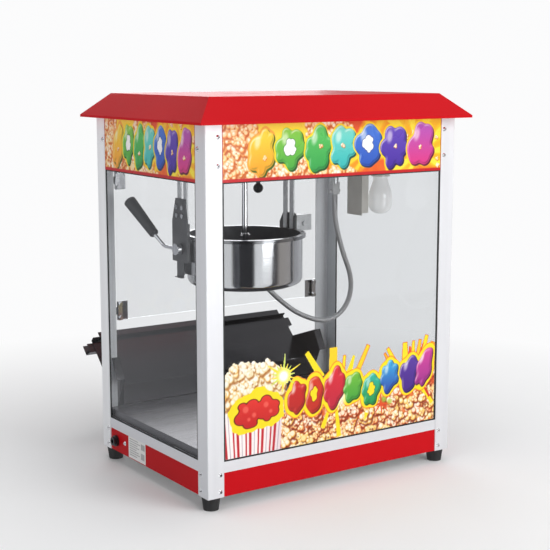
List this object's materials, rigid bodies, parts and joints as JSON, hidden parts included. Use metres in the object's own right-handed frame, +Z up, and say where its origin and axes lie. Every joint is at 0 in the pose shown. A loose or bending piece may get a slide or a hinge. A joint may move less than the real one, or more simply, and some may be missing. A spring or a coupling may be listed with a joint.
{
  "type": "popcorn maker",
  "caption": "Countertop popcorn maker: glazed cabinet with a printed header and hipped canopy, hanging tilt kettle with stirrer, rear doors and tilt-out bin.",
  "frame": {"origin": "centre of the whole machine's bounding box in X and Y with the bin in its open rest position, on the plane that the feet stand on", "axes": "+Z up; -Y out of the customer's glass front; +Y out of the operator's side with the doors and the bin; +X to the right seen from the front"},
  "size_m": [0.54, 0.5108, 0.6515],
  "materials": {
    "red_paint": "gloss powder coat",
    "alu": "satin anodised",
    "steel_polished": "bright polished",
    "steel_dark": "satin stainless",
    "steel_zinc": "zinc plated",
    "pot_dark": "dark non-stick coat",
    "bracket_dark": "satin dark grey",
    "galv": "galvanised sheet",
    "chrome": "bright",
    "rubber": "matt",
    "black_plastic": "moulded phenolic",
    "switch_plastic": "rocker switch",
    "printed_panel": "printed film on sheet",
    "clear_acrylic": "clear acrylic",
    "glass": "tempered clear",
    "bulb_glass": "frosted",
    "conduit": "braided steel conduit",
    "silicone": "silicone pad"
  },
  "bodies": {
    "cabinet": {"feet": "rubber", "base_skirt": "red_paint", "base_pan": "galv", "lower_rails": "alu", "post_front_left": "alu", "post_front_right": "alu", "post_rear_left": "alu", "post_rear_right": "alu", "front_glass": "glass", "left_glass": "glass", "right_glass": "glass", "glass_gaskets": "rubber", "header_front": "printed_panel", "header_left": "printed_panel", "header_right": "printed_panel", "header_rear": "red_paint", "ceiling_plate": "galv", "roof_canopy": "red_paint", "cabinet_screws": "chrome", "cable_glands": "black_plastic", "warming_deck": "steel_dark", "deck_heater": "silicone", "kick_panel": "steel_dark", "hanger_left": "steel_zinc", "hanger_right": "steel_zinc", "pivot_plate_left": "bracket_dark", "pivot_plate_right": "bracket_dark", "hanger_bolts": "chrome", "catch_bracket": "steel_zinc", "lamp_bracket": "galv", "lamp_socket": "black_plastic", "lamp_bulb": "bulb_glass", "gear_motor": "steel_zinc", "lead_connector": "steel_zinc", "kettle_lead": "conduit", "hinge_posts": "chrome", "bin_hinge": "steel_zinc", "switch_bezels": "black_plastic"},
    "kettle": {"kettle_pot": "pot_dark", "kettle_jacket": "steel_polished", "kettle_heater": "galv", "kettle_base_cover": "bracket_dark", "kettle_lugs": "steel_polished", "pivot_pins": "chrome", "tilt_rod": "chrome", "tilt_grip": "black_plastic", "kettle_terminal": "black_plastic"},
    "agitator": {"agitator_shaft": "chrome", "agitator_blades": "steel_polished"},
    "drive": {"drive_coupling": "chrome"},
    "left_door": {"door_left": "clear_acrylic", "hinge_leaves_left": "chrome"},
    "right_door": {"door_right": "clear_acrylic", "hinge_leaves_right": "chrome"},
    "bin": {"bin_panel": "steel_dark", "bin_handle": "steel_dark"},
    "heat_switch": {"rocker_heat": "switch_plastic"},
    "stir_switch": {"rocker_stir": "switch_plastic"},
    "light_switch": {"rocker_light": "switch_plastic"}
  },
  "joints": [
    {"name": "kettle_tilt", "type": "hinge", "parent": "cabinet", "child": "kettle", "pos_m": [-0.062, -0.0264, 0.392], "axis": [1, 0, 0], "range_deg": [-95, 0], "deforming": ["kettle_lead"]},
    {"name": "agitator_spin", "type": "hinge", "parent": "kettle", "child": "agitator", "pos_m": [-0.062, -0.0504, 0.422], "axis": [0, 0, 1], "continuous": true},
    {"name": "drive_spin", "type": "hinge", "parent": "cabinet", "child": "drive", "pos_m": [-0.062, -0.0504, 0.522], "axis": [0, 0, 1], "continuous": true},
    {"name": "left_door_swing", "type": "hinge", "parent": "cabinet", "child": "left_door", "pos_m": [-0.221, 0.136, 0.382], "axis": [0, 0, 1], "range_deg": [0, 110]},
    {"name": "right_door_swing", "type": "hinge", "parent": "cabinet", "child": "right_door", "pos_m": [0.221, 0.136, 0.382], "axis": [0, 0, -1], "range_deg": [0, 110]},
    {"name": "bin_tilt", "type": "hinge", "parent": "cabinet", "child": "bin", "pos_m": [0, 0.1328, 0.084], "axis": [1, 0, 0], "range_deg": [0, 45]},
    {"name": "heat_rocker", "type": "hinge", "parent": "cabinet", "child": "heat_switch", "pos_m": [-0.06, 0.1286, 0.568], "axis": [1, 0, 0], "range_deg": [0, 18]},
    {"name": "stir_rocker", "type": "hinge", "parent": "cabinet", "child": "stir_switch", "pos_m": [0, 0.1286, 0.568], "axis": [1, 0, 0], "range_deg": [0, 18]},
    {"name": "light_rocker", "type": "hinge", "parent": "cabinet", "child": "light_switch", "pos_m": [0.06, 0.1286, 0.568], "axis": [1, 0, 0], "range_deg": [0, 18]}
  ],
  "couplings": [
    {"joint": "drive_spin", "follows": "agitator_spin", "ratio": 1}
  ]
}
